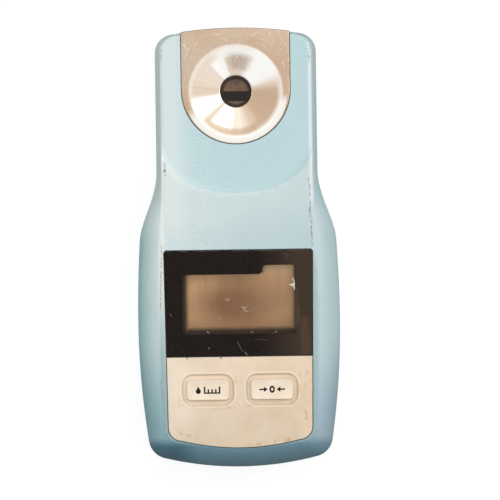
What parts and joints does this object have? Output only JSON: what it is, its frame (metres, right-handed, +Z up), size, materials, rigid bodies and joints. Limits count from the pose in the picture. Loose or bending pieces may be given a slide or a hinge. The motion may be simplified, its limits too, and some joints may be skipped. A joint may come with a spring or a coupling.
{
  "type": "digital refractometer",
  "caption": "Hand-held digital refractometer with a steel sample dish over a prism, a display window and two keys.",
  "frame": {"origin": "on the surface that the meter's back lies on, under the middle of its outline", "axes": "+X to the right of the display, +Y along the body towards the sample plate, +Z up out of the display face"},
  "size_m": [0.0544, 0.118, 0.0274],
  "materials": {
    "case_blue": "fine-grained pale blue moulding",
    "steel": "brushed plate with a turned dish",
    "black_print": "satin black printed panel",
    "cream_print": "satin cream printed panel, soiled round the keys",
    "clear_lens": "clear, lightly scratched",
    "lcd_glass": "unpowered display, brown",
    "dark_plastic": "black moulding",
    "rubber": "soft black seal",
    "prism_glass": "polished glass over a dark chamber",
    "board_green": "solder mask",
    "brass": "turned",
    "zinc": "zinc plated",
    "nickel": "nickel plated spring steel",
    "cell_wrap": "plain printed sleeve",
    "ribbon": "amber film"
  },
  "bodies": {
    "case": {"battery_left": "cell_wrap", "battery_right": "cell_wrap", "board_screw_high_left": "zinc", "board_screw_high_right": "zinc", "board_screw_low_left": "zinc", "board_screw_low_right": "zinc", "case_screw_grip_left": "zinc", "case_screw_grip_right": "zinc", "case_screw_head_left": "zinc", "case_screw_head_right": "zinc", "case_seal": "rubber", "collimating_lens": "clear_lens", "contact_bridge": "nickel", "contact_spring_left": "nickel", "contact_spring_right": "nickel", "display_panel": "black_print", "display_window": "clear_lens", "door_insert_high": "brass", "door_insert_low": "brass", "door_seal": "rubber", "focusing_lens": "clear_lens", "front_case": "case_blue", "keypad_overlay": "cream_print", "lamp_lead": "ribbon", "lcd_frame": "dark_plastic", "lcd_glass": "lcd_glass", "lcd_strip_high": "rubber", "lcd_strip_low": "rubber", "led": "clear_lens", "led_board": "board_green", "line_sensor": "dark_plastic", "main_board": "board_green", "negative_contact": "nickel", "optics_block": "dark_plastic", "optics_screw_left": "zinc", "optics_screw_right": "zinc", "positive_contact": "nickel", "prism": "prism_glass", "prism_plate": "steel", "prism_seal": "rubber", "processor_chip": "dark_plastic", "read_switch": "dark_plastic", "rear_case": "case_blue", "sensor_board": "board_green", "sensor_ribbon": "ribbon", "temperature_sensor": "dark_plastic", "zero_switch": "dark_plastic"},
    "read_button": {"read_key": "cream_print", "read_plunger": "dark_plastic"},
    "zero_button": {"zero_key": "cream_print", "zero_plunger": "dark_plastic"},
    "battery_cover": {"battery_door": "case_blue"},
    "upper_door_screw": {"door_screw_high": "zinc"},
    "lower_door_screw": {"door_screw_low": "zinc"}
  },
  "joints": [
    {"name": "read_press", "type": "slide", "parent": "case", "child": "read_button", "axis": [0, 0, -1], "range_m": [0, 0.0006], "stiffness_N_per_m": 600, "springref_m": -0.0005},
    {"name": "zero_press", "type": "slide", "parent": "case", "child": "zero_button", "axis": [0, 0, -1], "range_m": [0, 0.0006], "stiffness_N_per_m": 600, "springref_m": -0.0005},
    {"name": "battery_cover_lift", "type": "slide", "parent": "case", "child": "battery_cover", "axis": [0, 0, -1], "range_m": [0, 0.02]},
    {"name": "upper_door_screw_turn", "type": "hinge", "parent": "battery_cover", "child": "upper_door_screw", "pos_m": [0, 0.0106, 0], "axis": [0, 0, 1], "continuous": true},
    {"name": "lower_door_screw_turn", "type": "hinge", "parent": "battery_cover", "child": "lower_door_screw", "pos_m": [0, -0.0486, 0], "axis": [0, 0, 1], "continuous": true}
  ]
}
